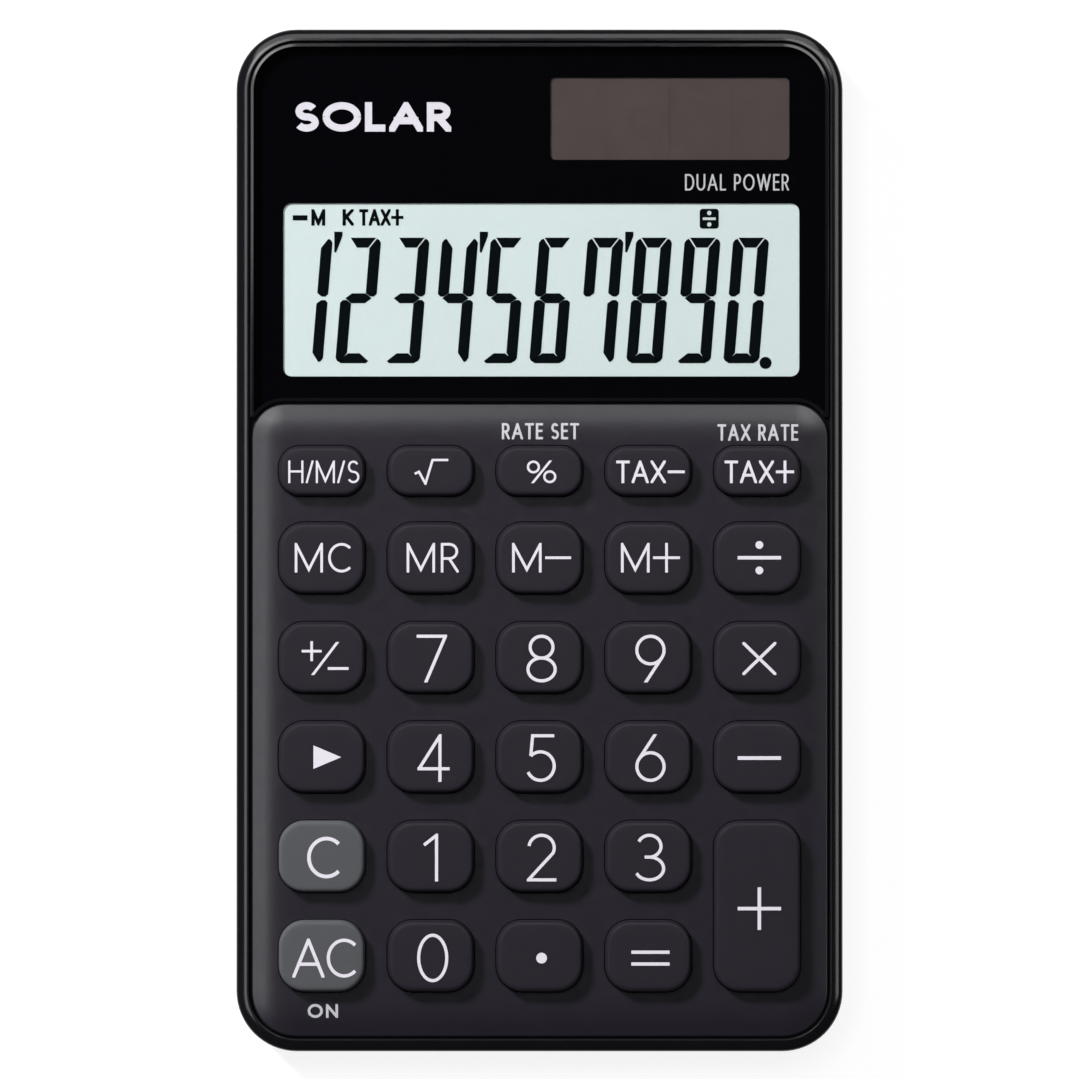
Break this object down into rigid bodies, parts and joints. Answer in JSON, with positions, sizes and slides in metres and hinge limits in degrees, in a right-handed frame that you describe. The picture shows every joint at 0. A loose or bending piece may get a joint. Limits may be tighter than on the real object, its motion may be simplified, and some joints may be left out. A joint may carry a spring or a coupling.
{
  "type": "pocket calculator",
  "caption": "Slim flat pocket calculator with a wide segment display under a clear window, a small solar cell, and a keypad of sprung rounded keys in a raised panel.",
  "frame": {"origin": "centre of the footprint, on the surface that the four feet stand on", "axes": "+X to the right as the keys are read, +Y towards the display end, +Z out of the key face"},
  "size_m": [0.07, 0.118, 0.008],
  "materials": {
    "case_gloss": "polished piano-black moulding",
    "case_back": "fine satin texture, black",
    "panel": "satin charcoal with a soft rolled edge",
    "key_black": "fine matte texture, off-black, pale printed legends",
    "key_grey": "fine matte texture, mid grey, pale printed legends",
    "window": "clear acrylic with a black back print and two clear windows",
    "lcd_glass": "clear glass with a faint green tint",
    "lcd_reflector": "pale grey-green reflector film",
    "solar": "glass-covered amorphous silicon, brown",
    "holder": "natural grey moulding",
    "elastomer": "silicone with fine carbon layers",
    "board": "green solder mask",
    "epoxy": "black potting drop",
    "capacitor": "tan ceramic",
    "dome_rubber": "grey silicone rubber",
    "foot_rubber": "black rubber",
    "screw_steel": "zinc-plated steel",
    "contact_nickel": "nickel-plated spring strip",
    "cell_can": "nickel-plated steel can",
    "lead_red": "red insulation",
    "lead_black": "black insulation"
  },
  "bodies": {
    "housing": {"board_screw_left_lower": "screw_steel", "board_screw_left_upper": "screw_steel", "board_screw_right_lower": "screw_steel", "board_screw_right_upper": "screw_steel", "button_cell": "cell_can", "capacitor": "capacitor", "case_screw_bottom_left": "screw_steel", "case_screw_bottom_right": "screw_steel", "case_screw_top_left": "screw_steel", "case_screw_top_right": "screw_steel", "cell_contact_negative": "contact_nickel", "cell_contact_positive": "contact_nickel", "circuit_board": "board", "controller_chip": "epoxy", "display_window": "window", "foot_bottom_left": "foot_rubber", "foot_bottom_right": "foot_rubber", "foot_top_left": "foot_rubber", "foot_top_right": "foot_rubber", "front_case": "case_gloss", "keypad_panel": "panel", "lcd_front_glass": "lcd_glass", "lcd_holder": "holder", "lcd_rear_glass": "lcd_glass", "lcd_reflector": "lcd_reflector", "rear_case": "case_back", "rubber_dome_sheet": "dome_rubber", "solar_cell": "solar", "solar_lead_negative": "lead_black", "solar_lead_positive": "lead_red", "zebra_connector": "elastomer"},
    "key_0": {"key_0": "key_black"},
    "key_1": {"key_1": "key_black"},
    "key_2": {"key_2": "key_black"},
    "key_3": {"key_3": "key_black"},
    "key_4": {"key_4": "key_black"},
    "key_5": {"key_5": "key_black"},
    "key_6": {"key_6": "key_black"},
    "key_7": {"key_7": "key_black"},
    "key_8": {"key_8": "key_black"},
    "key_9": {"key_9": "key_black"},
    "key_all_clear": {"key_all_clear": "key_grey"},
    "key_backspace": {"key_backspace": "key_black"},
    "key_clear": {"key_clear": "key_grey"},
    "key_decimal_point": {"key_decimal_point": "key_black"},
    "key_divide": {"key_divide": "key_black"},
    "key_equals": {"key_equals": "key_black"},
    "key_hms": {"key_hms": "key_black"},
    "key_memory_clear": {"key_memory_clear": "key_black"},
    "key_memory_minus": {"key_memory_minus": "key_black"},
    "key_memory_plus": {"key_memory_plus": "key_black"},
    "key_memory_recall": {"key_memory_recall": "key_black"},
    "key_minus": {"key_minus": "key_black"},
    "key_multiply": {"key_multiply": "key_black"},
    "key_percent": {"key_percent": "key_black"},
    "key_plus": {"key_plus": "key_black"},
    "key_sign_change": {"key_sign_change": "key_black"},
    "key_square_root": {"key_square_root": "key_black"},
    "key_tax_minus": {"key_tax_minus": "key_black"},
    "key_tax_plus": {"key_tax_plus": "key_black"}
  },
  "joints": [
    {"name": "press_0", "type": "slide", "parent": "housing", "child": "key_0", "axis": [0, 0, -1], "range_m": [0, 0.0009], "stiffness_N_per_m": 900, "springref_m": -0.0002, "deforming": ["rubber_dome_sheet"]},
    {"name": "press_1", "type": "slide", "parent": "housing", "child": "key_1", "axis": [0, 0, -1], "range_m": [0, 0.0009], "stiffness_N_per_m": 900, "springref_m": -0.0002, "deforming": ["rubber_dome_sheet"]},
    {"name": "press_2", "type": "slide", "parent": "housing", "child": "key_2", "axis": [0, 0, -1], "range_m": [0, 0.0009], "stiffness_N_per_m": 900, "springref_m": -0.0002, "deforming": ["rubber_dome_sheet"]},
    {"name": "press_3", "type": "slide", "parent": "housing", "child": "key_3", "axis": [0, 0, -1], "range_m": [0, 0.0009], "stiffness_N_per_m": 900, "springref_m": -0.0002, "deforming": ["rubber_dome_sheet"]},
    {"name": "press_4", "type": "slide", "parent": "housing", "child": "key_4", "axis": [0, 0, -1], "range_m": [0, 0.0009], "stiffness_N_per_m": 900, "springref_m": -0.0002, "deforming": ["rubber_dome_sheet"]},
    {"name": "press_5", "type": "slide", "parent": "housing", "child": "key_5", "axis": [0, 0, -1], "range_m": [0, 0.0009], "stiffness_N_per_m": 900, "springref_m": -0.0002, "deforming": ["rubber_dome_sheet"]},
    {"name": "press_6", "type": "slide", "parent": "housing", "child": "key_6", "axis": [0, 0, -1], "range_m": [0, 0.0009], "stiffness_N_per_m": 900, "springref_m": -0.0002, "deforming": ["rubber_dome_sheet"]},
    {"name": "press_7", "type": "slide", "parent": "housing", "child": "key_7", "axis": [0, 0, -1], "range_m": [0, 0.0009], "stiffness_N_per_m": 900, "springref_m": -0.0002, "deforming": ["rubber_dome_sheet"]},
    {"name": "press_8", "type": "slide", "parent": "housing", "child": "key_8", "axis": [0, 0, -1], "range_m": [0, 0.0009], "stiffness_N_per_m": 900, "springref_m": -0.0002, "deforming": ["rubber_dome_sheet"]},
    {"name": "press_9", "type": "slide", "parent": "housing", "child": "key_9", "axis": [0, 0, -1], "range_m": [0, 0.0009], "stiffness_N_per_m": 900, "springref_m": -0.0002, "deforming": ["rubber_dome_sheet"]},
    {"name": "press_all_clear", "type": "slide", "parent": "housing", "child": "key_all_clear", "axis": [0, 0, -1], "range_m": [0, 0.0009], "stiffness_N_per_m": 900, "springref_m": -0.0002, "deforming": ["rubber_dome_sheet"]},
    {"name": "press_backspace", "type": "slide", "parent": "housing", "child": "key_backspace", "axis": [0, 0, -1], "range_m": [0, 0.0009], "stiffness_N_per_m": 900, "springref_m": -0.0002, "deforming": ["rubber_dome_sheet"]},
    {"name": "press_clear", "type": "slide", "parent": "housing", "child": "key_clear", "axis": [0, 0, -1], "range_m": [0, 0.0009], "stiffness_N_per_m": 900, "springref_m": -0.0002, "deforming": ["rubber_dome_sheet"]},
    {"name": "press_decimal_point", "type": "slide", "parent": "housing", "child": "key_decimal_point", "axis": [0, 0, -1], "range_m": [0, 0.0009], "stiffness_N_per_m": 900, "springref_m": -0.0002, "deforming": ["rubber_dome_sheet"]},
    {"name": "press_divide", "type": "slide", "parent": "housing", "child": "key_divide", "axis": [0, 0, -1], "range_m": [0, 0.0009], "stiffness_N_per_m": 900, "springref_m": -0.0002, "deforming": ["rubber_dome_sheet"]},
    {"name": "press_equals", "type": "slide", "parent": "housing", "child": "key_equals", "axis": [0, 0, -1], "range_m": [0, 0.0009], "stiffness_N_per_m": 900, "springref_m": -0.0002, "deforming": ["rubber_dome_sheet"]},
    {"name": "press_hms", "type": "slide", "parent": "housing", "child": "key_hms", "axis": [0, 0, -1], "range_m": [0, 0.0009], "stiffness_N_per_m": 900, "springref_m": -0.0002, "deforming": ["rubber_dome_sheet"]},
    {"name": "press_memory_clear", "type": "slide", "parent": "housing", "child": "key_memory_clear", "axis": [0, 0, -1], "range_m": [0, 0.0009], "stiffness_N_per_m": 900, "springref_m": -0.0002, "deforming": ["rubber_dome_sheet"]},
    {"name": "press_memory_minus", "type": "slide", "parent": "housing", "child": "key_memory_minus", "axis": [0, 0, -1], "range_m": [0, 0.0009], "stiffness_N_per_m": 900, "springref_m": -0.0002, "deforming": ["rubber_dome_sheet"]},
    {"name": "press_memory_plus", "type": "slide", "parent": "housing", "child": "key_memory_plus", "axis": [0, 0, -1], "range_m": [0, 0.0009], "stiffness_N_per_m": 900, "springref_m": -0.0002, "deforming": ["rubber_dome_sheet"]},
    {"name": "press_memory_recall", "type": "slide", "parent": "housing", "child": "key_memory_recall", "axis": [0, 0, -1], "range_m": [0, 0.0009], "stiffness_N_per_m": 900, "springref_m": -0.0002, "deforming": ["rubber_dome_sheet"]},
    {"name": "press_minus", "type": "slide", "parent": "housing", "child": "key_minus", "axis": [0, 0, -1], "range_m": [0, 0.0009], "stiffness_N_per_m": 900, "springref_m": -0.0002, "deforming": ["rubber_dome_sheet"]},
    {"name": "press_multiply", "type": "slide", "parent": "housing", "child": "key_multiply", "axis": [0, 0, -1], "range_m": [0, 0.0009], "stiffness_N_per_m": 900, "springref_m": -0.0002, "deforming": ["rubber_dome_sheet"]},
    {"name": "press_percent", "type": "slide", "parent": "housing", "child": "key_percent", "axis": [0, 0, -1], "range_m": [0, 0.0009], "stiffness_N_per_m": 900, "springref_m": -0.0002, "deforming": ["rubber_dome_sheet"]},
    {"name": "press_plus", "type": "slide", "parent": "housing", "child": "key_plus", "axis": [0, 0, -1], "range_m": [0, 0.0009], "stiffness_N_per_m": 900, "springref_m": -0.0002, "deforming": ["rubber_dome_sheet"]},
    {"name": "press_sign_change", "type": "slide", "parent": "housing", "child": "key_sign_change", "axis": [0, 0, -1], "range_m": [0, 0.0009], "stiffness_N_per_m": 900, "springref_m": -0.0002, "deforming": ["rubber_dome_sheet"]},
    {"name": "press_square_root", "type": "slide", "parent": "housing", "child": "key_square_root", "axis": [0, 0, -1], "range_m": [0, 0.0009], "stiffness_N_per_m": 900, "springref_m": -0.0002, "deforming": ["rubber_dome_sheet"]},
    {"name": "press_tax_minus", "type": "slide", "parent": "housing", "child": "key_tax_minus", "axis": [0, 0, -1], "range_m": [0, 0.0009], "stiffness_N_per_m": 900, "springref_m": -0.0002, "deforming": ["rubber_dome_sheet"]},
    {"name": "press_tax_plus", "type": "slide", "parent": "housing", "child": "key_tax_plus", "axis": [0, 0, -1], "range_m": [0, 0.0009], "stiffness_N_per_m": 900, "springref_m": -0.0002, "deforming": ["rubber_dome_sheet"]}
  ]
}
